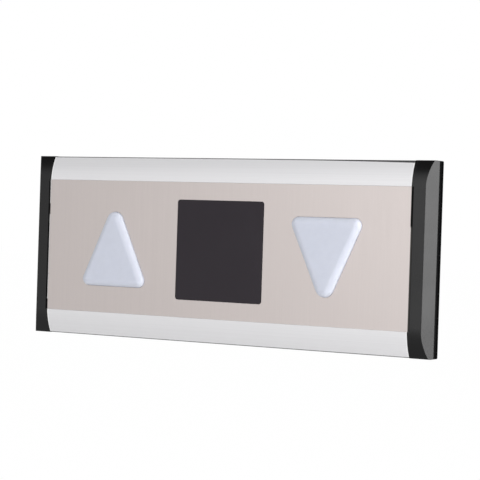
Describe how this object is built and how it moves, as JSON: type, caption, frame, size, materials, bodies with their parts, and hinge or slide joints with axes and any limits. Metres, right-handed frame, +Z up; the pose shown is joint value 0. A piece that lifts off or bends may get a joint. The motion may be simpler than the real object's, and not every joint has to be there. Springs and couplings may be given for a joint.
{
  "type": "elevator floor indicator",
  "caption": "Wide, shallow wall-mounted indicator: metal rails and faceplate, square dot-matrix window, raised up and down arrow lenses, black end caps, hooked wall plate.",
  "frame": {"origin": "centre of the wall plate's rear face, midway between the two wall-box slots, on the wall", "axes": "+X to the right seen from the front, +Y back into the wall, +Z up; the display faces -Y"},
  "size_m": [0.3, 0.017, 0.12],
  "materials": {
    "zinc": "zinc-plated steel",
    "brass": "plain brass",
    "rail_aluminium": "satin anodised, drawn lengthwise",
    "face_steel": "fine upright brushing, warm beige",
    "smoked_window": "smoked, smooth",
    "arrow_lens": "opal white, smooth",
    "white_plastic": "moulded",
    "black_plastic": "moulded",
    "cap_plastic": "fine satin moulding",
    "board": "solder mask over laminate",
    "led": "lamp body with phosphor",
    "matrix_dot": "diffusing resin",
    "tinned": "tinned metal",
    "ribbon": "grey ribbon insulation",
    "chip": "moulded epoxy",
    "capacitor": "drawn can",
    "switch_blue": "moulded",
    "button_red": "moulded"
  },
  "bodies": {
    "mount": {"wall_plate": "zinc", "earth_stud": "zinc", "earth_washer": "zinc", "earth_nut": "brass"},
    "housing": {"body_extrusion": "rail_aluminium", "faceplate": "face_steel", "faceplate_studs": "zinc", "window_lens": "smoked_window", "up_arrow_lens": "arrow_lens", "down_arrow_lens": "arrow_lens", "up_light_box": "white_plastic", "down_light_box": "white_plastic", "up_arrow_board": "board", "down_arrow_board": "board", "up_arrow_leds": "led", "down_arrow_leds": "led", "display_board": "board", "board_spacers": "white_plastic", "matrix_surround": "black_plastic", "led_matrix": "black_plastic", "matrix_dots": "matrix_dot", "matrix_pins": "tinned", "stud_washers": "zinc", "stud_nuts": "zinc", "left_link_ribbon": "ribbon", "right_link_ribbon": "ribbon", "controller_chip": "chip", "controller_leads": "tinned", "driver_chips": "chip", "driver_leads": "tinned", "wiring_header": "white_plastic", "wiring_pins": "tinned", "smoothing_capacitors": "capacitor", "voltage_regulator": "chip", "dip_switch_case": "switch_blue", "setup_button_case": "chip"},
    "dip_1": {"dip_slider_1": "white_plastic"},
    "dip_2": {"dip_slider_2": "white_plastic"},
    "dip_3": {"dip_slider_3": "white_plastic"},
    "dip_4": {"dip_slider_4": "white_plastic"},
    "plunger": {"setup_button_plunger": "button_red"},
    "left_cap": {"left_end_cap": "cap_plastic"},
    "right_cap": {"right_end_cap": "cap_plastic"}
  },
  "joints": [
    {"name": "housing_lift", "type": "slide", "parent": "mount", "child": "housing", "axis": [0, 0, 1], "range_m": [0, 0.008]},
    {"name": "left_cap_pull", "type": "slide", "parent": "housing", "child": "left_cap", "axis": [-1, 0, 0], "range_m": [0, 0.016]},
    {"name": "right_cap_pull", "type": "slide", "parent": "housing", "child": "right_cap", "axis": [1, 0, 0], "range_m": [0, 0.016]},
    {"name": "dip_1_slide", "type": "slide", "parent": "housing", "child": "dip_1", "axis": [1, 0, 0], "range_m": [0, 0.0015]},
    {"name": "dip_2_slide", "type": "slide", "parent": "housing", "child": "dip_2", "axis": [1, 0, 0], "range_m": [0, 0.0015]},
    {"name": "dip_3_slide", "type": "slide", "parent": "housing", "child": "dip_3", "axis": [1, 0, 0], "range_m": [0, 0.0015]},
    {"name": "dip_4_slide", "type": "slide", "parent": "housing", "child": "dip_4", "axis": [1, 0, 0], "range_m": [0, 0.0015]},
    {"name": "setup_button_press", "type": "slide", "parent": "housing", "child": "plunger", "axis": [0, -1, 0], "range_m": [0, 0.0004], "stiffness_N_per_m": 300}
  ]
}
